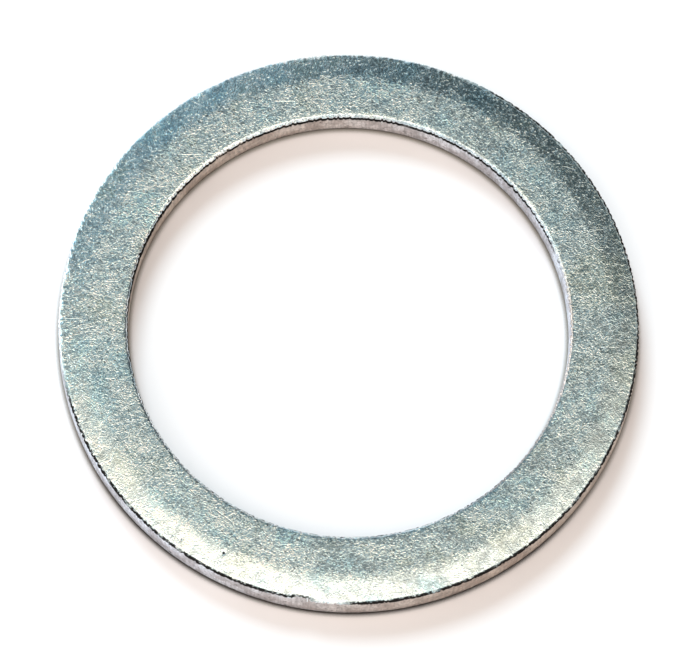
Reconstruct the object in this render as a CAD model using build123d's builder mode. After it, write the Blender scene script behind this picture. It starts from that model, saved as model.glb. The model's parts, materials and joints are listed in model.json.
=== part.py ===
from build123d import *
import os

# Flat sealing ring, blanked and pierced from sheet metal in one stroke. The blanking die draws
# a broad shoulder down round the outside of the upper face. Tumbling rounds the other edges.
# Millimetres. +Z is the ring's axis and its upper side. The underside lies on Z = 0.

# Driving dimensions
bore_diameter = 18.2        # clears an 18 mm thread
face_width = 2.85           # radial width of the ring, from bore wall to outer wall
thickness = 1.5             # of the sheet, at the flat land

shoulder_width = 1.03       # sloping band that the blanking die draws down round the outside
shoulder_drop = 0.145       # fall of that band from the land to the outer wall
shoulder_bend_radius = 3.0  # soft bend where the land runs out into the band
outer_edge_radius = 0.09    # corner between band and outer wall

bore_edge_radius = 0.15     # bright rounded corner between land and bore wall

underside_edge_radius = 0.15    # both lower corners

# Radii of the walls and of the crease between land and shoulder
bore_radius = bore_diameter / 2
outside_radius = bore_radius + face_width
shoulder_radius = outside_radius - shoulder_width

# Corners of the ring's section, as radius and height
lower_bore_corner = (bore_radius, 0)
lower_outer_corner = (outside_radius, 0)
upper_outer_corner = (outside_radius, thickness - shoulder_drop)
shoulder_bend = (shoulder_radius, thickness)
upper_bore_corner = (bore_radius, thickness)

corner_radii = [
    (shoulder_bend, shoulder_bend_radius),
    (upper_outer_corner, outer_edge_radius),
    (upper_bore_corner, bore_edge_radius),
    (lower_outer_corner, underside_edge_radius),
    (lower_bore_corner, underside_edge_radius),
]

with BuildPart() as sealing_ring:
    with BuildSketch(Plane.XZ) as section:
        with BuildLine():
            Polyline(
                lower_bore_corner,
                lower_outer_corner,
                upper_outer_corner,
                shoulder_bend,
                upper_bore_corner,
                close=True,
            )
        make_face()
        for corner, corner_radius in corner_radii:
            fillet(section.vertices().sort_by_distance(corner)[0], radius=corner_radius)
    revolve(axis=Axis.Z)

sealing_ring.part.label = "sealing_ring"
os.makedirs("parts", exist_ok=True)
export_step(sealing_ring.part, "parts/sealing_ring.step")
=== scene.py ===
import json
import math
import bmesh
import bpy
from mathutils import Matrix, Vector, noise


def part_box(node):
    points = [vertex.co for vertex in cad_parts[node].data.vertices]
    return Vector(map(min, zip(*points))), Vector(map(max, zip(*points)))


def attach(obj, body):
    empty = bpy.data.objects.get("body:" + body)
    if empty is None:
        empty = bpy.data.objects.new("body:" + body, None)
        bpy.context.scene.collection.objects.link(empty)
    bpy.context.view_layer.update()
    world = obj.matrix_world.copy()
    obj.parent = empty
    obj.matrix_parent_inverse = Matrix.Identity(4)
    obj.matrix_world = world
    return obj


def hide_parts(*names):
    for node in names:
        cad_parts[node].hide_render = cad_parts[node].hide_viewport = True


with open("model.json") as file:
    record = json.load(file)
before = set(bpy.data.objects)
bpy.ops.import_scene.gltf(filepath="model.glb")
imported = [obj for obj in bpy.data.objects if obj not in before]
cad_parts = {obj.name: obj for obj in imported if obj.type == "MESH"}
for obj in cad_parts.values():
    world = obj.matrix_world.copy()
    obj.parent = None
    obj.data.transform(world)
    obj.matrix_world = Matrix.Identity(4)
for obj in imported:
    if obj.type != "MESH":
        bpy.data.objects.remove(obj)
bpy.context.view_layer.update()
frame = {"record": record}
print("frame loaded")

# The scene is in metres. The sizes below are in millimetres, the angles in degrees.
mm = 0.001

# The ring lies on the floor at Z = 0, with its axis along +Z. Its front is towards -Y.
faceWidth = 2.85  # from the bore to the outside
bore = next(mount for mount in frame["record"]["mounts"] if mount["name"] == "bore")
boreRadius = bore["dims"]["r_mm"]
outerRadius = boreRadius + faceWidth
middleRadius = (boreRadius + outerRadius) / 2
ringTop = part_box("sealing_ring")[1].z / mm


# node helpers that every material uses

def connect(tree, socket, value):
    if isinstance(value, bpy.types.NodeSocket):
        tree.links.new(value, socket)
    elif value is not None:
        socket.default_value = value


def addNode(tree, kind, settings=None, inputs=None):
    node = tree.nodes.new(kind)
    for name, value in (settings or {}).items():
        setattr(node, name, value)
    for name, value in (inputs or {}).items():
        connect(tree, node.inputs[name], value)
    return node


def addMath(tree, operation, first, second=None, third=None, clamp=False):
    return addNode(tree, "ShaderNodeMath", {"operation": operation, "use_clamp": clamp},
                   {0: first, 1: second, 2: third}).outputs[0]


def multiply(tree, first, *others):
    for other in others:
        first = addMath(tree, "MULTIPLY", first, other)
    return first


def addVector(tree, operation, first, second=None, output=0):
    node = addNode(tree, "ShaderNodeVectorMath", {"operation": operation}, {0: first, 1: second})
    return node.outputs[output]


def scaleVector(tree, vector, scale):
    node = addNode(tree, "ShaderNodeVectorMath", {"operation": "SCALE"}, {0: vector, "Scale": scale})
    return node.outputs[0]


def splitVector(tree, vector):
    return addNode(tree, "ShaderNodeSeparateXYZ", None, {0: vector}).outputs[:]


def flatten(tree, vector):
    return addVector(tree, "MULTIPLY", vector, (1, 1, 0))


def axisDistance(tree, place):
    return addVector(tree, "LENGTH", flatten(tree, place), None, "Value")


def addRange(tree, value, fromLow, fromHigh, toLow=0.0, toHigh=1.0, smooth=True):
    kind = "SMOOTHSTEP" if smooth else "LINEAR"
    return addNode(tree, "ShaderNodeMapRange", {"interpolation_type": kind}, {
        "Value": value, "From Min": fromLow, "From Max": fromHigh, "To Min": toLow, "To Max": toHigh,
    }).outputs["Result"]


def mixColour(tree, factor, first, second, blend="MIX", clamp=False):
    node = addNode(tree, "ShaderNodeMix", {"data_type": "RGBA", "blend_type": blend, "clamp_result": clamp},
                   {0: factor, 6: first, 7: second})
    return node.outputs[2]


def dimColour(tree, colour, tone, clamp=False):
    grey = addNode(tree, "ShaderNodeCombineXYZ", None, {0: tone, 1: tone, 2: tone}).outputs[0]
    return mixColour(tree, 1.0, colour, grey, "MULTIPLY", clamp)


def addNoise(tree, vector, size, detail=2.0, roughness=0.5, distortion=0.0):
    # size is the width of one spot in mm, as a number or a socket
    scale = 0.5 / size if isinstance(size, float) else addMath(tree, "DIVIDE", 0.5, size)
    return addNode(tree, "ShaderNodeTexNoise", None, {
        "Vector": vector, "Scale": scale, "Detail": detail, "Roughness": roughness,
        "Distortion": distortion}).outputs["Fac"]


def addRamp(tree, factor, stops):
    node = addNode(tree, "ShaderNodeValToRGB", None, {"Fac": factor})
    ramp = node.color_ramp
    while len(ramp.elements) < len(stops):
        ramp.elements.new(0.5)
    for element, (place, colour) in zip(ramp.elements, stops):
        element.position = place
        element.color = (*colour, 1.0)
    return node.outputs["Color"]


def startGroup(name, inputs, outputs):
    # every input is a number but the first, a place in mm, and every output is a number
    tree = bpy.data.node_groups.new(name, "ShaderNodeTree")
    tree.interface.new_socket(name="Vector", in_out="INPUT", socket_type="NodeSocketVector")
    for title in inputs:
        tree.interface.new_socket(name=title, in_out="INPUT", socket_type="NodeSocketFloat")
    for title in outputs:
        tree.interface.new_socket(name=title, in_out="OUTPUT", socket_type="NodeSocketFloat")
    return tree, tree.nodes.new("NodeGroupInput").outputs, tree.nodes.new("NodeGroupOutput").inputs


def useGroup(tree, group, inputs):
    return addNode(tree, "ShaderNodeGroup", {"node_tree": group}, inputs).outputs


def startMaterial(name):
    material = bpy.data.materials.new(name)
    material.use_nodes = True
    material.node_tree.nodes.clear()
    return material, material.node_tree


def placeInMm(tree):
    return scaleVector(tree, addNode(tree, "ShaderNodeTexCoord").outputs["Object"], 1 / mm)


def finishMetal(tree, colour, metallic, roughness, height):
    bump = addNode(tree, "ShaderNodeBump", None, {
        "Strength": 1.0, "Distance": 1.0, "Height": multiply(tree, height, mm)}).outputs["Normal"]
    surface = addNode(tree, "ShaderNodeBsdfPrincipled", None, {
        "Base Color": colour, "Metallic": metallic, "Roughness": roughness, "Specular IOR Level": 0.0,
        "Normal": bump})
    output = addNode(tree, "ShaderNodeOutputMaterial")
    tree.links.new(surface.outputs[0], output.inputs["Surface"])


def polar(radius, azimuth, height=0):
    angle = math.radians(azimuth)
    return Vector((radius * math.cos(angle), radius * math.sin(angle), height))


# the camera

camera = {
    "elevation": 71.29,     # above the floor, looking from the front
    "distance": 248.07,     # mm from the ring's centre
    "roll": -4.37,
    "turnRight": -0.00027,  # radians, aims the ring off the frame's centre
    "turnUp": 0.0001,
    "focalPixels": 6000,
    "imageWidth": 700,
    "clip": (5, 20000),
}


def makeCamera(c):
    data = bpy.data.cameras.new("studioCamera")
    data.sensor_fit = "HORIZONTAL"
    data.sensor_width = 36.0
    data.lens = c["focalPixels"] * data.sensor_width / c["imageWidth"]
    data.clip_start, data.clip_end = (distance * mm for distance in c["clip"])
    tilt = math.radians(c["elevation"])
    place = Vector((0, -math.cos(tilt), math.sin(tilt))) * c["distance"] * mm
    forward = -place.normalized()
    right = forward.cross(Vector((0, 0, 1))).normalized()
    up = right.cross(forward)
    axes = Matrix((right, up, -forward)).transposed()
    axes = Matrix.Rotation(c["turnUp"], 3, right) @ Matrix.Rotation(c["turnRight"], 3, up) @ axes
    axes = Matrix.Rotation(math.radians(c["roll"]), 3, -axes.col[2]) @ axes
    thing = bpy.data.objects.new("studioCamera", data)
    bpy.context.scene.collection.objects.link(thing)
    thing.matrix_world = Matrix.Translation(place) @ axes.to_4x4()
    bpy.context.scene.camera = thing


makeCamera(camera)
print("camera placed")


# effects that both metals share

def makeGrainGroup():
    # worm-like tumbling marks, with a finer grain over them
    tree, given, result = startGroup(
        "tumbledGrain", ["Worm Size", "Worm Height", "Fine Size", "Fine Height"], ["Height", "Tone"])
    worm = addNoise(tree, given["Vector"], given["Worm Size"], 1.5, 0.5, 0.9)
    ridge = addMath(tree, "ABSOLUTE", addMath(tree, "MULTIPLY_ADD", worm, 4.0, -2.0))
    ridge = addRange(tree, ridge, 0.0, 0.7)
    fine = addNoise(tree, given["Vector"], given["Fine Size"], 1.0)
    height = multiply(tree, ridge, given["Worm Height"])
    connect(tree, result["Height"], addMath(tree, "MULTIPLY_ADD", fine, given["Fine Height"], height))
    both = addMath(tree, "MULTIPLY_ADD", fine, 1.2, -0.6)
    connect(tree, result["Tone"], addMath(tree, "MULTIPLY_ADD", ridge, 0.8, both))
    return tree


def makeScratchGroup():
    # one short groove in each cell, each turned and bent its own way
    tree, given, result = startGroup(
        "shortScratches", ["Spacing", "Length", "Width", "Curl", "Share"], ["Groove"])
    cells = addNode(tree, "ShaderNodeTexVoronoi", {"voronoi_dimensions": "2D"}, {
        "Vector": given["Vector"], "Scale": addMath(tree, "DIVIDE", 1.0, given["Spacing"])})
    local = addVector(tree, "SUBTRACT", flatten(tree, given["Vector"]), cells.outputs["Position"])
    chance = addNode(tree, "ShaderNodeSeparateColor", None, {0: cells.outputs["Color"]}).outputs
    turned = addNode(tree, "ShaderNodeVectorRotate", {"rotation_type": "Z_AXIS"}, {
        "Vector": local, "Angle": multiply(tree, chance[0], 2 * math.pi)}).outputs[0]
    x, y = splitVector(tree, turned)[:2]
    bend = multiply(tree, addMath(tree, "SUBTRACT", chance[1], 0.5), given["Curl"])
    across = addMath(tree, "MULTIPLY_ADD", multiply(tree, x, x), bend, y)
    side = addMath(tree, "DIVIDE", addMath(tree, "ABSOLUTE", across), given["Width"])
    reach = multiply(tree, given["Length"], addRange(tree, chance[2], 0, 1, 0.2, 0.5, False))
    end = addMath(tree, "DIVIDE", addMath(tree, "ABSOLUTE", x), reach)
    groove = multiply(tree, addRange(tree, side, 1.0, 0.0), addRange(tree, end, 1.0, 0.6))
    draw = addMath(tree, "FRACT", multiply(tree, chance[2], 37.0))
    chosen = addMath(tree, "LESS_THAN", draw, given["Share"])
    connect(tree, result["Groove"], multiply(tree, groove, chosen))
    return tree


def makeSpeckGroup():
    # small specks, more of them for a larger share
    tree, given, result = startGroup("specks", ["Size", "Share"], ["Mask"])
    spots = addNoise(tree, given["Vector"], given["Size"], 0.0)
    edge = addMath(tree, "SUBTRACT", 0.86, multiply(tree, given["Share"], 0.3))
    connect(tree, result["Mask"], addRange(tree, spots, edge, addMath(tree, "ADD", edge, 0.05)))
    return tree


edgeDent = {                  # where the outer edge was knocked in
    "azimuth": 264.7,
    "length": 0.55,           # half its length round the ring
    "depth": 0.13,
    "foot": 0.5,              # height where the wall starts to lean in
    "rise": 0.75,             # from the foot to the full depth
    "reach": 0.55,            # from the wall inwards over the shoulder
    "fade": 0.4,
}

paintedEdgeShade = {                 # mm, painted dark reflection along the tops of the walls and painted contact shade at their feet
    "Bore Top": 1.37,
    "Outer Top": 1.37,
    "Bore Width": 0.28,
    "Outer Width": 0.14,
    "Foot": 0.18,
}

# where the painted dark reflection and painted contact shade lines climb, widen, thin out and stop, by place
# on the ring
paintedEdgeShadeShape = {
    "spotSize": 0.07,         # of the lines' uneven ends
    "unevenHeight": 0.08,
    "unevenRadius": 0.11,
    "leftSpan": (-6.5, -9.0),   # X where the bore's line climbs and widens
    "leftClimb": 0.05,
    "frontSpan": (-3.0, -7.0),  # Y where it climbs
    "frontClimb": 0.06,
    "widening": 5.0,            # how much the climb widens the line
    "thinSpan": (-4.0, -7.0),   # Y where it thins out
    "thinShare": 0.22,
    "dentSpan": (0.6, 3.0),     # distance from the dent where the outer line is thinner
    "dentShare": 0.5,
    "dentEdge": (0.6, 0.4),     # distance from the dent where the line laps further over the edge
    "dentLap": 0.14,
    "rimInset": (0.085, 0.055), # from the wall inwards, where the outer line starts and is full
    "gapSize": 0.4,
    "gapLimits": (0.27, 0.44),
    "lineGapAzimuth": 270.2,       # the outer painted line is left out here
    "lineGapSpan": (0.4, 0.9),
    "lineEndSlope": -0.9,         # the outer line ends towards the back, along this slope
    "lineEndSpan": (5.5, 8.5),
    "boreLineEndX": (8.2, 8.8),   # X where the bore's line ends
    "footSpotSize": 0.2,
    "footLimits": (0.3, 0.5),
    "footShare": 0.75,
}


# a mask of painted shade: the dark reflection along the upper edges, and contact shade at the walls' feet
def makePaintedEdgeShadeGroup(s):
    tree, given, result = startGroup("paintedEdgeShade", list(paintedEdgeShade), ["Mask"])
    place = given["Vector"]
    x, y, z = splitVector(tree, place)
    flat = flatten(tree, place)
    radius = addVector(tree, "LENGTH", flat, None, "Value")
    outer = addMath(tree, "GREATER_THAN", radius, middleRadius)
    inner = addMath(tree, "SUBTRACT", 1.0, outer)
    rough = addNoise(tree, place, s["spotSize"], 2.0, 0.6)
    height = addMath(tree, "MULTIPLY_ADD", rough, s["unevenHeight"],
                     addMath(tree, "SUBTRACT", z, s["unevenHeight"] / 2))

    # how far a point lies below the top of its line, and how wide the line is there
    climb = addMath(tree, "MAXIMUM", addRange(tree, x, *s["leftSpan"], 0.0, s["leftClimb"]),
                    addRange(tree, y, *s["frontSpan"], 0.0, s["frontClimb"]))
    climb = multiply(tree, inner, climb)
    top = addRange(tree, outer, 0.0, 1.0, given["Bore Top"], given["Outer Top"], False)
    below = addMath(tree, "SUBTRACT", addMath(tree, "ADD", top, climb), height)
    width = addRange(tree, outer, 0.0, 1.0, given["Bore Width"], given["Outer Width"], False)
    width = addMath(tree, "MULTIPLY_ADD", climb, s["widening"], width)
    thin = addRange(tree, y, *s["thinSpan"], 1.0, s["thinShare"])
    struck = addVector(tree, "DISTANCE", flat, tuple(polar(outerRadius, edgeDent["azimuth"])), "Value")
    width = multiply(tree, width, addMath(tree, "MAXIMUM", outer, thin),
                     addRange(tree, struck, *s["dentSpan"], s["dentShare"], 1.0))
    upper = multiply(tree, addRange(tree, below, -0.01, 0.015),
                     addRange(tree, below, width, multiply(tree, width, 0.8)))

    # the outer line stops at the edge and doesn't spread over the shoulder
    rim = addMath(tree, "ADD", radius, addRange(tree, struck, *s["dentEdge"], 0.0, s["dentLap"]))
    rim = addMath(tree, "MULTIPLY_ADD", rough, s["unevenRadius"], rim)
    rim = addRange(tree, rim, *(outerRadius - inset for inset in s["rimInset"]))
    upper = multiply(tree, upper, addMath(tree, "MAXIMUM", rim, inner))

    # gaps: the outer line is missing at the back, the bore's at the right
    gaps = addRange(tree, addNoise(tree, place, s["gapSize"], 4.0, 0.7), *s["gapLimits"])
    lineGap = addVector(tree, "DISTANCE", flat, tuple(polar(outerRadius, s["lineGapAzimuth"])), "Value")
    gaps = multiply(tree, gaps, addRange(tree, lineGap, *s["lineGapSpan"]))
    back = addMath(tree, "MULTIPLY_ADD", x, s["lineEndSlope"], y)
    back = multiply(tree, outer, addRange(tree, back, *s["lineEndSpan"]))
    right = multiply(tree, inner, addRange(tree, x, *s["boreLineEndX"]))
    gaps = addMath(tree, "SUBTRACT", gaps, addMath(tree, "MAXIMUM", back, right), clamp=True)
    upper = multiply(tree, upper, gaps)

    # painted contact shade at the walls' feet, in patches
    patches = addNoise(tree, flat, s["footSpotSize"], 2.0)
    lower = addRange(tree, height, given["Foot"], multiply(tree, given["Foot"], 0.75))
    lower = multiply(tree, lower, addRange(tree, patches, *s["footLimits"], s["footShare"], 1.0))
    connect(tree, result["Mask"], addMath(tree, "MAXIMUM", upper, lower, clamp=True))
    return tree


nicks = [  # radius, azimuth, height and size of the small dark knocks
    (11.95, 236.65, 0.32, 0.09),
    (9.10, 143.35, 1.10, 0.10),
    (11.09, 246.8, 1.46, 0.08),
    (11.50, 237.8, 1.42, 0.06),
]


def makeNickGroup():
    tree, given, result = startGroup("nicks", [], ["Mask"])
    mask = 0.0
    for radius, azimuth, height, size in nicks:
        away = addVector(tree, "DISTANCE", given["Vector"], tuple(polar(radius, azimuth, height)), "Value")
        mask = addMath(tree, "MAXIMUM", addRange(tree, away, size, size / 2), mask)
    connect(tree, result["Mask"], mask)
    return tree


grainGroup = makeGrainGroup()
scratchGroup = makeScratchGroup()
speckGroup = makeSpeckGroup()
paintedEdgeShadeGroup = makePaintedEdgeShadeGroup(paintedEdgeShadeShape)
nickGroup = makeNickGroup()
print("shared effects made")


# the faces' metal: tumbled and scratched

faceMetal = {
    "colour": (0.77, 0.87, 0.92, 1),
    "blue": (0.54, 0.80, 0.93, 1),
    "cream": (0.88, 0.93, 0.82, 1),
    "dark": (0.08, 0.14, 0.16, 1),
    "pale": (0.86, 0.96, 1.0, 1),
    # painted shade on the bore's lip, dimming its reflection
    "paintedLipShade": (0.44, 0.40, 0.38, 1),
    # painted dark reflection and contact shade along the edges, and the dark nicks
    "paintedShadeAndNicks": (0.017, 0.015, 0.015, 1),
    "roughness": 0.27,
    "cloudSize": 1.1,
    "blueSpan": (0.50, 0.66),       # of the clouds, from no blue to its full share
    "blueShare": 0.55,
    "creamSpan": (0.48, 0.34),
    "creamShare": 0.45,
    "paintedShadeRightTone": 0.86,      # painted shade: the face is a little darker towards +X, away from the light on the left
    "rightSpan": (-4.0, 4.0),
    "rightWobble": 6.0,     # how far the clouds shift that change
    "landTone": (0.76, 0.885),      # strength of the grain's tone, and the tone under it
    "shoulderTone": (0.50, 0.975),
    "shoulderHeight": 0.85,         # share of the relief that the die leaves there
    "lipHeight": 0.4,               # the same at the bore's lip and at the outer rim
    "rimHeight": 0.5,
    "mottles": [            # spot size, roughness, lowest and highest tone
        (0.22, 0.65, 0.66, 1.24),
        (0.6, 0.6, 0.84, 1.14),
    ],
    "wormSize": 0.078,
    "wormHeight": 0.0042,
    "fineSize": 0.028,
    "fineHeight": 0.0045,
    "fleckShift": (9, 4, 0),
    "fleckSize": 0.065,
    "fleckLimits": (0.63, 0.69),
    "fleckShare": 0.9,
    "speckSize": 0.055,
    "speckShare": 0.45,
    "speckDarkness": 0.7,
    "lipShadeRight": (3.0, 7.5),        # X and Y where the painted shade on the bore's edge starts
    "lipShadeFront": (5.0, 1.0),
    "lineStart": 1.2,               # from the middle of the face, the walls' lines lie beyond it
    "paintedShadeAndNickRoughness": 0.5,          # added where the painted shade lines and the nicks lie
    "layerShift": (3.7, 5.3, 0),    # between one scratch layer's cells and the next one's
    "scratchLayers": [      # spacing, length, width, curl, share, depth
        (0.95, 0.80, 0.026, 1.2, 0.60, 0.0050),
        (0.40, 0.36, 0.030, 5.0, 0.65, 0.0050),
        (0.20, 0.12, 0.034, 0.0, 0.70, 0.0080),
    ],
    "marks": [              # radius and azimuth of both ends, half-width, depth
        (10.17, 137.9, 9.60, 134.1, 0.030, 0.006),
        (10.21, 111.6, 10.01, 107.3, 0.028, 0.006),
        (10.22, 174.3, 9.66, 173.7, 0.028, 0.006),
        (10.89, 188.2, 10.44, 188.4, 0.030, 0.006),
        (9.49, 17.9, 10.14, 17.1, 0.030, 0.006),
        (10.38, 358.9, 11.11, 359.3, 0.028, 0.006),
        (10.97, 100.0, 10.58, 97.2, 0.028, 0.006),
        (9.70, 240.0, 9.81, 246.1, 0.028, 0.006),
        (9.64, 228.7, 9.72, 235.7, 0.028, 0.005),
        (10.61, 23.4, 10.85, 21.7, 0.030, 0.007),
        (9.82, 153.2, 9.19, 153.7, 0.028, 0.005),
        (10.95, 197.1, 10.93, 197.6, 0.060, 0.008),
        (11.60, 191.2, 11.60, 194.5, 0.040, 0.006),
        (10.80, 15.6, 10.79, 15.7, 0.045, 0.010),
        (10.56, 10.3, 10.56, 9.6, 0.040, 0.009),
        (11.50, 237.8, 11.49, 237.9, 0.045, 0.010),
    ],
}


def addMark(tree, flat, mark):
    # a straight groove between two points of the face
    startRadius, startAzimuth, endRadius, endAzimuth, width, depth = mark
    start = polar(startRadius, startAzimuth)
    run = polar(endRadius, endAzimuth) - start
    offset = addVector(tree, "SUBTRACT", flat, tuple(start))
    along = addVector(tree, "DOT_PRODUCT", offset, tuple(run / run.length_squared), "Value")
    along = addMath(tree, "MAXIMUM", addMath(tree, "MINIMUM", along, 1.0), 0.0)
    distance = addVector(tree, "DISTANCE", offset, scaleVector(tree, tuple(run), along), "Value")
    return addRange(tree, distance, width, 0.0, 0.0, depth)


def addLandAndShoulder(tree, shoulder, land, band):
    # one value on the land that turns into another on the shoulder
    return addMath(tree, "MULTIPLY_ADD", shoulder, band - land, land)


def makeFaceMetal(m):
    material, tree = startMaterial("ringFaceMetal")
    place = placeInMm(tree)
    x, y, z = splitVector(tree, place)
    radius = axisDistance(tree, place)
    shoulder = addRange(tree, radius, outerRadius - 1.20, outerRadius - 0.80)
    upper = addMath(tree, "GREATER_THAN", z, 0.7)
    # flat coordinates, moved for the underside, so that the two faces don't carry the same marks
    flat = addNode(tree, "ShaderNodeCombineXYZ", None, {
        0: addMath(tree, "MULTIPLY_ADD", upper, -31.0, addMath(tree, "ADD", x, 31.0)),
        1: y, 2: 0.0}).outputs[0]

    # clouds of colour
    cloud = addNoise(tree, place, m["cloudSize"], 4.0, 0.6)
    blue = addRange(tree, cloud, *m["blueSpan"], 0.0, m["blueShare"])
    colour = mixColour(tree, blue, m["colour"], m["blue"])
    cream = addRange(tree, cloud, *m["creamSpan"], 0.0, m["creamShare"])
    colour = mixColour(tree, cream, colour, m["cream"])

    # light and dark, from painted shade towards +X and wide patches down to the grain
    shift = addMath(tree, "MULTIPLY_ADD", cloud, m["rightWobble"], -m["rightWobble"] / 2)
    tone = addRange(tree, addMath(tree, "ADD", x, shift), *m["rightSpan"], 1.0, m["paintedShadeRightTone"])
    grain = useGroup(tree, grainGroup, {
        "Vector": place, "Worm Size": m["wormSize"], "Worm Height": m["wormHeight"],
        "Fine Size": m["fineSize"], "Fine Height": m["fineHeight"]})
    strength, base = (addLandAndShoulder(tree, shoulder, land, band)
                      for land, band in zip(m["landTone"], m["shoulderTone"]))
    tone = multiply(tree, tone, addMath(tree, "MULTIPLY_ADD", grain["Tone"], strength, base))
    for size, roughness, lowest, highest in m["mottles"]:
        mottle = addNoise(tree, place, size, 3.0, roughness)
        tone = multiply(tree, tone, addRange(tree, mottle, 0.3, 0.7, lowest, highest, False))

    # relief
    height = grain["Height"]
    for number, (spacing, length, width, curl, share, depth) in enumerate(m["scratchLayers"]):
        shifted = addVector(tree, "ADD", flat, tuple(number * part for part in m["layerShift"]))
        groove = useGroup(tree, scratchGroup, {
            "Vector": shifted, "Spacing": spacing, "Length": length, "Width": width, "Curl": curl,
            "Share": share})["Groove"]
        height = addMath(tree, "MULTIPLY_ADD", groove, -depth, height)
    for mark in m["marks"]:
        height = addMath(tree, "SUBTRACT", height, addMark(tree, flat, mark))
    # the die leaves the shoulder smoother than the land, and the edges smoother still
    lip = addRange(tree, radius, boreRadius + 0.06, boreRadius + 0.16, m["lipHeight"], 1.0)
    rim = addRange(tree, radius, outerRadius - 0.03, outerRadius - 0.09, m["rimHeight"], 1.0)
    drawn = multiply(tree, lip, rim, addLandAndShoulder(tree, shoulder, 1.0, m["shoulderHeight"]))
    height = multiply(tree, height, drawn)

    # pale flecks: partly the grain's own tone, partly painted glints of its facets
    flecks = addNoise(tree, addVector(tree, "ADD", place, m["fleckShift"]), m["fleckSize"], 1.0)
    flecks = multiply(tree, addRange(tree, flecks, *m["fleckLimits"]), m["fleckShare"])
    colour = mixColour(tree, flecks, colour, m["pale"])
    colour = dimColour(tree, colour, tone, True)

    # painted shade: the bore's edge is darker towards +X and the front, dimming its reflection
    paintedLipShade = multiply(tree, addRange(tree, radius, boreRadius + 0.18, boreRadius + 0.10),
                    addRange(tree, x, *m["lipShadeRight"]), addRange(tree, y, *m["lipShadeFront"]), upper)
    colour = mixColour(tree, paintedLipShade, colour, m["paintedLipShade"])

    specks = useGroup(tree, speckGroup, {
        "Vector": place, "Size": m["speckSize"], "Share": m["speckShare"]})["Mask"]
    fewer = addRange(tree, radius, outerRadius - 1.15, outerRadius - 0.75, 1.0, 0.5)
    colour = mixColour(tree, multiply(tree, specks, fewer, m["speckDarkness"]), colour, m["dark"])

    # the walls' painted dark lines, painted reflection and contact shade, reach the corners only
    away = addMath(tree, "ABSOLUTE", addMath(tree, "SUBTRACT", radius, middleRadius))
    corner = addMath(tree, "GREATER_THAN", away, m["lineStart"])
    lines = multiply(tree, useGroup(tree, paintedEdgeShadeGroup, {"Vector": place, **paintedEdgeShade})["Mask"], corner)
    paintedShadeAndNicks = addMath(tree, "MAXIMUM", lines, useGroup(tree, nickGroup, {"Vector": place})["Mask"])
    colour = mixColour(tree, paintedShadeAndNicks, colour, m["paintedShadeAndNicks"])
    roughness = addMath(tree, "MULTIPLY_ADD", paintedShadeAndNicks, m["paintedShadeAndNickRoughness"], m["roughness"])
    finishMetal(tree, colour, addMath(tree, "SUBTRACT", 1.0, paintedShadeAndNicks), roughness, height)
    return material


# the walls' metal: sheared by the punch and the die

wallMetal = {
    # the walls' own sheared grey, with a pink cast that is a painted reflection of the warm-shaded floor
    "colour": (0.46, 0.40, 0.385, 1),
    "pale": (0.65, 0.60, 0.59, 1),
    "paintedCoolReflection": (1.10, 1.28, 1.45, 1),   # painted cool reflection, where a wall faces -X; the warm one below is where it faces +X
    "paintedWarmReflection": (0.92, 0.86, 0.76, 1),
    # painted dark reflection and contact shade along the edges, and the dark nicks
    "paintedShadeAndNicks": (0.012, 0.012, 0.012, 1),
    "dark": (0.08, 0.08, 0.08, 1),
    "roughness": 0.42,
    "cloudSize": 0.45,
    "paleSpan": (0.4, 0.62),
    "tintSpan": (-9.0, 8.0),
    "streakWidth": 0.05,    # of the lines that the shear draws down the wall
    "streakShort": 0.12,    # a streak's width as a share of its length
    "streakHeight": 0.004,
    "streakTone": (0.75, 1.1),
    "wormSize": 0.11,
    "wormHeight": 0.002,
    "fineSize": 0.04,
    "fineHeight": 0.004,
    "grainTone": 0.3,
    "speckSize": 0.06,
    "speckShare": 0.5,
    "speckDarkness": 0.6,
}


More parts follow.
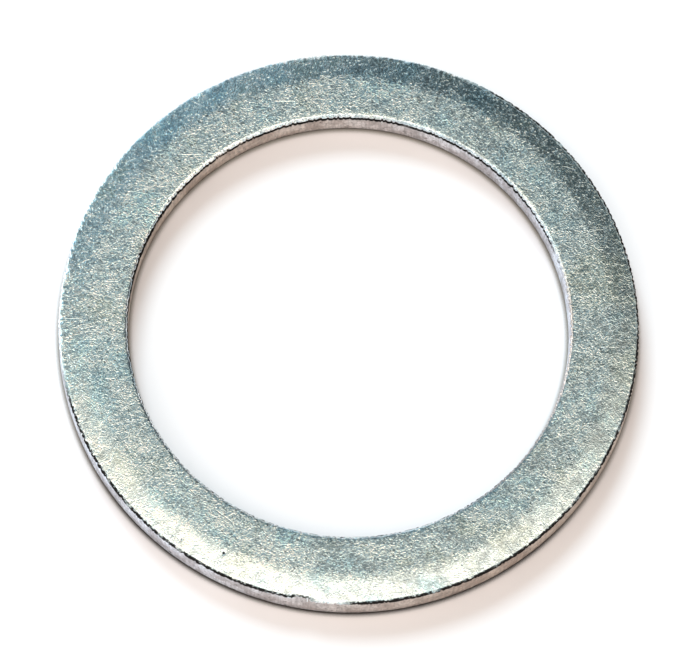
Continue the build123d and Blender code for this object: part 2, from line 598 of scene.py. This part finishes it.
def makeWallMetal(m):
    material, tree = startMaterial("ringWallMetal")
    place = placeInMm(tree)
    drawn = addVector(tree, "MULTIPLY", place, (1, 1, m["streakShort"]))
    streaks = addNoise(tree, drawn, m["streakWidth"], 3.0, 0.6)
    cloud = addNoise(tree, place, m["cloudSize"], 3.0, 0.6)
    colour = mixColour(tree, addRange(tree, cloud, *m["paleSpan"]), m["colour"], m["pale"])
    # the bore's wall faces the other way from the outer wall on the same side
    way = addRange(tree, axisDistance(tree, place), middleRadius - 0.5, middleRadius + 0.5, -1.0, 1.0)
    # painted reflection: a wall is tinted cool where it faces -X and warm where it faces +X
    facing = addRange(tree, multiply(tree, splitVector(tree, place)[0], way), *m["tintSpan"])
    tint = mixColour(tree, facing, m["paintedCoolReflection"], m["paintedWarmReflection"])
    colour = mixColour(tree, 1.0, colour, tint, "MULTIPLY")
    grain = useGroup(tree, grainGroup, {
        "Vector": place, "Worm Size": m["wormSize"], "Worm Height": m["wormHeight"],
        "Fine Size": m["fineSize"], "Fine Height": m["fineHeight"]})
    tone = addMath(tree, "MULTIPLY_ADD", grain["Tone"], m["grainTone"],
                   addRange(tree, streaks, 0.3, 0.7, *m["streakTone"]))
    colour = dimColour(tree, colour, tone)
    specks = useGroup(tree, speckGroup, {
        "Vector": place, "Size": m["speckSize"], "Share": m["speckShare"]})["Mask"]
    colour = mixColour(tree, multiply(tree, specks, m["speckDarkness"]), colour, m["dark"])
    # painted shade: the dark edge and foot lines, with the nicks
    lines = useGroup(tree, paintedEdgeShadeGroup, {"Vector": place, **paintedEdgeShade})["Mask"]
    paintedShadeAndNicks = addMath(tree, "MAXIMUM", lines, useGroup(tree, nickGroup, {"Vector": place})["Mask"])
    colour = mixColour(tree, paintedShadeAndNicks, colour, m["paintedShadeAndNicks"])
    height = addMath(tree, "MULTIPLY_ADD", streaks, m["streakHeight"], grain["Height"])
    finishMetal(tree, colour, addMath(tree, "SUBTRACT", 1.0, paintedShadeAndNicks), m["roughness"], height)
    return material


# the ring

ring = {
    "shoulderWidth": 1.03,    # the drawn-down band round the outside
    "shoulderDrop": 0.145,
    "shoulderBend": 0.21,     # length of the soft bend, each side of its crease
    "outerEdge": 0.078,       # the same for the other corners
    "boreEdge": 0.15,
    "lowerEdge": 0.15,
    "turnSteps": 1560,
    "upperSpacing": 0.12,     # between the section's points, on the upper face
    "wallSpacing": 0.24,
    "undersideSpacing": 0.6,
    "waves": 0.0025,          # unevenness of the tumbled faces
    "crown": 0.008,           # fall of the land towards the bore
    "crownRadius": 9.9,       # where that fall starts
    "crownWidth": 0.65,
    "rimTeeth": 0.052,        # unevenness of the sheared upper edges
    "teethFall": 0.6,         # how far a tooth gives way down, as a share of inwards
    "outerTeethReach": 0.16,
    "boreTeethReach": 0.12,
    "wallLimit": 0.3,         # upward part of a face's normal, under which it is a wall
}

dents = [  # azimuth, radius, height of the middle; length round the ring, reach across it, depth
    (246.8, 11.09, 1.48, 0.09, 0.09, 0.05),
    (237.8, 11.50, 1.42, 0.08, 0.08, 0.04),
]


def makeBlank(r):
    corners = [  # radius, height, bevel length, bevel segments
        (boreRadius, 0, r["lowerEdge"], 5),
        (outerRadius, 0, r["lowerEdge"], 5),
        (outerRadius, ringTop - r["shoulderDrop"], r["outerEdge"], 6),
        (outerRadius - r["shoulderWidth"], ringTop, r["shoulderBend"], 7),
        (boreRadius, ringTop, r["boreEdge"], 8),
    ]
    bm = bmesh.new()
    section = [bm.verts.new((radius * mm, 0, height * mm)) for radius, height, length, parts in corners]
    bm.faces.new(section)
    for vertex, (radius, height, length, parts) in zip(section, corners):
        bmesh.ops.bevel(bm, geom=[vertex], offset=length * mm, offset_type="OFFSET", segments=parts,
                        profile=0.5, affect="VERTICES", material=-1, clamp_overlap=False)
    bmesh.ops.delete(bm, geom=bm.faces[:], context="FACES_ONLY")
    for edge in bm.edges[:]:
        middle = (edge.verts[0].co + edge.verts[1].co) / 2
        spacing = r["wallSpacing"]
        if middle.z > (ringTop - 0.2) * mm:
            spacing = r["upperSpacing"]
        if middle.z < 0.01 * mm:
            spacing = r["undersideSpacing"]
        cuts = int(round(edge.calc_length() / mm / spacing)) - 1
        if cuts > 0:
            bmesh.ops.subdivide_edges(bm, edges=[edge], cuts=cuts)
    print("section points:", len(bm.verts))
    bmesh.ops.spin(bm, geom=bm.verts[:] + bm.edges[:], cent=(0, 0, 0), axis=(0, 0, 1),
                   dvec=(0, 0, 0), angle=2 * math.pi, steps=r["turnSteps"], use_merge=True)
    bmesh.ops.remove_doubles(bm, verts=bm.verts[:], dist=1e-7)
    bmesh.ops.recalc_face_normals(bm, faces=bm.faces[:])
    print("ring spun")
    return bm


def aroundRing(azimuth, middle, radius):
    # distance round the ring from a middle azimuth
    return math.radians((azimuth - middle + 180) % 360 - 180) * radius


def wearRing(bm, r):
    for vertex in bm.verts:
        radius = vertex.co.xy.length / mm
        height = vertex.co.z / mm
        azimuth = math.degrees(math.atan2(vertex.co.y, vertex.co.x)) % 360
        outward = vertex.co.xy.normalized()
        place = Vector((vertex.co.x, vertex.co.y, 0)) / mm
        upper = height > 0.5
        # waves take a little off both faces, and the land falls towards the bore
        if height > ringTop - 0.3 or height < 0.1:
            wave = noise.noise(place * 1.6) + 0.6 * noise.noise(place * 4.5)
            vertex.co.z += (wave - 1.6) * r["waves"] * mm * (1 if upper else -1)
            fall = max(0, (r["crownRadius"] - radius) / r["crownWidth"]) ** 2
            vertex.co.z -= r["crown"] * mm * fall * (1 if upper else 0)
        # the sheared upper edges are uneven, and give way only inwards
        nearEdge = 0.0
        if height > 1.1:
            nearEdge = max(1 - abs(radius - outerRadius) / r["outerTeethReach"],
                           1 - abs(radius - boreRadius) / r["boreTeethReach"], 0)
        if nearEdge > 0:
            tooth = max(0.0, 0.2 + 0.4 * noise.noise(place * 5.0) + 1.6 * noise.noise(place * 11.3))
            vertex.co.z -= tooth * nearEdge * r["rimTeeth"] * r["teethFall"] * mm
            side = -1 if radius > middleRadius else 1
            vertex.co.xy += outward * side * tooth * nearEdge * r["rimTeeth"] * mm
        for dentAzimuth, dentRadius, dentHeight, length, reach, depth in dents:
            along = aroundRing(azimuth, dentAzimuth, radius) / length
            across = math.hypot(radius - dentRadius, height - dentHeight) / reach
            if abs(along) < 1 and across < 1:
                fall = (1 - along * along) ** 2 * (1 - across * across) ** 2
                vertex.co.z -= depth * fall * mm
        # the wall leans in where the edge was knocked
        inside = radius - (outerRadius - edgeDent["reach"])
        along = aroundRing(azimuth, edgeDent["azimuth"], radius) / edgeDent["length"]
        if abs(along) < 1 and inside > 0 and height > edgeDent["foot"]:
            lean = min(1, (height - edgeDent["foot"]) / edgeDent["rise"]) * min(1, inside / edgeDent["fade"])
            vertex.co.xy -= outward * edgeDent["depth"] * (1 - along * along) ** 2 * lean * mm
    bm.normal_update()
    print("ring worn")


def makeRing(r):
    bm = makeBlank(r)
    wearRing(bm, r)
    for face in bm.faces:
        face.smooth = True
        face.material_index = 1 if abs(face.normal.z) < r["wallLimit"] else 0
    mesh = bpy.data.meshes.new("sealingRing")
    bm.to_mesh(mesh)
    bm.free()
    mesh.materials.append(makeFaceMetal(faceMetal))
    mesh.materials.append(makeWallMetal(wallMetal))
    thing = bpy.data.objects.new("sealingRing", mesh)
    bpy.context.scene.collection.objects.link(thing)
    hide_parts("sealing_ring")
    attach(thing, "root")
    print("ring made:", len(mesh.vertices), "vertices", len(mesh.polygons), "faces")


makeRing(ring)


# the floor

floor = {
    "size": 3000,
    "drop": 0.01,      # just under the ring, so that the two never share a plane
    "colour": (0.74, 0.69, 0.715, 1),
    "lift": 0.09,      # brings the plain floor up to white for the camera and for reflections
    "contact": 0.31,   # reach of the painted contact shadow where the ring meets the floor
    "contactSpan": (0.45, 0.95),  # how open a spot is, from full dark to none
    "frontSpan": (-4.0, -9.0),    # Y where the painted contact shadow takes on its darker front colour
    "frontContactShadowColour": (0.05, 0.042, 0.04, 1),
    "contactShadowColour": (0.28, 0.25, 0.23, 1),
}


def makeFloor(f):
    bm = bmesh.new()
    bmesh.ops.create_grid(bm, x_segments=1, y_segments=1, size=f["size"] * mm / 2)
    mesh = bpy.data.meshes.new("floor")
    bm.to_mesh(mesh)
    bm.free()
    mesh.transform(Matrix.Translation((0, 0, -f["drop"] * mm)))
    thing = bpy.data.objects.new("floor", mesh)
    bpy.context.scene.collection.objects.link(thing)
    material, tree = startMaterial("paleFloor")
    # painted contact shadow: the thin gap under the ring's rounded foot is made darker than the path
    # tracer's white bounce leaves it
    contact = addNode(tree, "ShaderNodeAmbientOcclusion", {"samples": 8}, {"Distance": f["contact"] * mm})
    shade = addRange(tree, contact.outputs["AO"], *f["contactSpan"])
    place = placeInMm(tree)
    y = splitVector(tree, place)[1]
    # the painted contact shadow is darker at the front, where the lamp's shadow falls
    outside = addMath(tree, "GREATER_THAN", addVector(tree, "LENGTH", place, None, "Value"), middleRadius)
    front = multiply(tree, addRange(tree, y, *f["frontSpan"]), outside)
    dark = mixColour(tree, front, f["contactShadowColour"], f["frontContactShadowColour"])
    colour = mixColour(tree, shade, dark, f["colour"])
    matt = addNode(tree, "ShaderNodeBsdfDiffuse", None, {"Color": colour})
    rays = addNode(tree, "ShaderNodeLightPath").outputs
    seen = addMath(tree, "MAXIMUM", rays["Is Camera Ray"], rays["Is Glossy Ray"])
    seen = addMath(tree, "MAXIMUM", seen, rays["Is Transmission Ray"])
    glow = addNode(tree, "ShaderNodeEmission", None, {
        "Color": (1, 1, 1, 1), "Strength": multiply(tree, seen, shade, f["lift"])})
    both = addNode(tree, "ShaderNodeAddShader", None, {0: matt.outputs[0], 1: glow.outputs[0]})
    output = addNode(tree, "ShaderNodeOutputMaterial")
    tree.links.new(both.outputs[0], output.inputs["Surface"])
    mesh.materials.append(material)


makeFloor(floor)
print("floor laid")


# the light

sky = {
    "strength": 1.0,
    "stops": [  # colour by the Y part of the direction, from the front to the back
        (-1.0, (1.10, 1.06, 1.00)),
        (-0.60, (1.50, 1.43, 1.32)),
        (-0.30, (1.80, 1.66, 1.44)),
        (-0.10, (1.98, 1.78, 1.50)),
        (0.0, (1.86, 1.63, 1.32)),
        (0.10, (1.36, 1.21, 0.96)),
        (0.18, (0.87, 0.86, 0.72)),
        (0.26, (0.54, 0.73, 0.69)),
        (0.34, (0.59, 1.01, 1.26)),
        (0.42, (0.77, 1.24, 1.62)),
        (0.50, (0.54, 0.93, 1.16)),
        (0.60, (0.24, 0.53, 0.68)),
        (0.72, (0.50, 0.68, 0.74)),
        (0.85, (0.60, 0.66, 0.68)),
        (1.0, (0.50, 0.54, 0.55)),
    ],
    "leftTint": (0.88, 1.0, 1.10, 1),   # of the sky below the high part
    "rightTint": (1.07, 1.0, 0.91, 1),
    "tintSpan": (-0.8, 0.8),   # X part of the direction, from the left tint to the right one
    "highSky": (0.75, 0.35),   # Z part of the direction, from no tint to full tint
    "lowSky": 0.55,            # how bright the sky is at the horizon in front
    "lowSkySlope": 0.4,        # how much less of it is dimmed towards the back
    "lowSkySpan": (-0.1, 0.25),
    "panels": [  # azimuth, elevation, inner and outer radius, colour
        (69, 51, 17, 28, (0.005, 0.025, 0.03)),
        (138, 57, 11, 20, (0.04, 0.08, 0.09)),
        (150, 36, 4, 20, (0.85, 1.28, 1.46)),
        (100, 12, 6, 20, (1.00, 1.05, 1.05)),
        (160, 10, 8, 26, (3.80, 3.80, 3.70)),
        (20, 4, 37, 48, (0.03, 0.03, 0.04)),
    ],
}


def direction(azimuth, elevation):
    return polar(math.cos(math.radians(elevation)), azimuth, math.sin(math.radians(elevation)))


def makeSky(s):
    world = bpy.data.worlds.new("studio")
    world.use_nodes = True
    bpy.context.scene.world = world
    tree = world.node_tree
    tree.nodes.clear()
    way = addNode(tree, "ShaderNodeTexCoord").outputs["Generated"]
    x, y, z = splitVector(tree, way)
    # a ramp holds nothing brighter than 1, so its colours are divided by the brightest
    top = max(max(colour) for at, colour in s["stops"])
    stops = [((at + 1) / 2, tuple(part / top for part in colour)) for at, colour in s["stops"]]
    colour = addRamp(tree, addRange(tree, y, -1.0, 1.0, smooth=False), stops)
    tint = mixColour(tree, addRange(tree, x, *s["tintSpan"]), s["leftTint"], s["rightTint"])
    tinted = mixColour(tree, 1.0, colour, tint, "MULTIPLY")
    colour = mixColour(tree, addRange(tree, z, *s["highSky"]), colour, tinted)
    low = addMath(tree, "MULTIPLY_ADD", y, s["lowSkySlope"], z)
    colour = dimColour(tree, colour, addRange(tree, low, *s["lowSkySpan"], s["lowSky"], 1.0))
    for azimuth, elevation, inner, outer, panelColour in s["panels"]:
        aim = tuple(direction(azimuth, elevation))
        turn = addMath(tree, "ARCCOSINE", addVector(tree, "DOT_PRODUCT", way, aim, "Value"))
        mask = addRange(tree, turn, math.radians(outer), math.radians(inner))
        colour = mixColour(tree, mask, colour, (*(part / top for part in panelColour), 1.0))
    rays = addNode(tree, "ShaderNodeLightPath").outputs
    studio = addNode(tree, "ShaderNodeBackground", None, {"Color": colour, "Strength": s["strength"] * top})
    white = addNode(tree, "ShaderNodeBackground", None, {"Color": (1, 1, 1, 1), "Strength": 1.0})
    both = addNode(tree, "ShaderNodeMixShader", None, {
        0: rays["Is Camera Ray"], 1: studio.outputs[0], 2: white.outputs[0]})
    output = addNode(tree, "ShaderNodeOutputWorld")
    tree.links.new(both.outputs[0], output.inputs["Surface"])


lamp = {
    "azimuth": 110,
    "elevation": 44,
    "distance": 400,
    "size": 190,
    "colour": (0.80, 1.05, 1.13),
    "brightness": 0.60,  # what it adds to a white floor
}


def makeLamp(p):
    data = bpy.data.lights.new("softbox", "AREA")
    data.shape = "DISK"
    data.size = p["size"] * mm
    data.color = p["colour"]
    way = direction(p["azimuth"], p["elevation"])
    area = math.pi * (p["size"] * mm / 2) ** 2
    solidAngle = area / (p["distance"] * mm) ** 2
    radiance = p["brightness"] * math.pi / (solidAngle * math.sin(math.radians(p["elevation"])))
    data.energy = radiance * math.pi * area
    thing = bpy.data.objects.new("softbox", data)
    bpy.context.scene.collection.objects.link(thing)
    thing.location = way * p["distance"] * mm
    thing.rotation_mode = "QUATERNION"
    thing.rotation_quaternion = way.to_track_quat("Z", "Y")
    thing.visible_camera = False
    thing.visible_glossy = False  # the metal mirrors the studio, not the lamp


makeSky(sky)
makeLamp(lamp)
bpy.context.scene.view_settings.view_transform = "Standard"
print("light made")
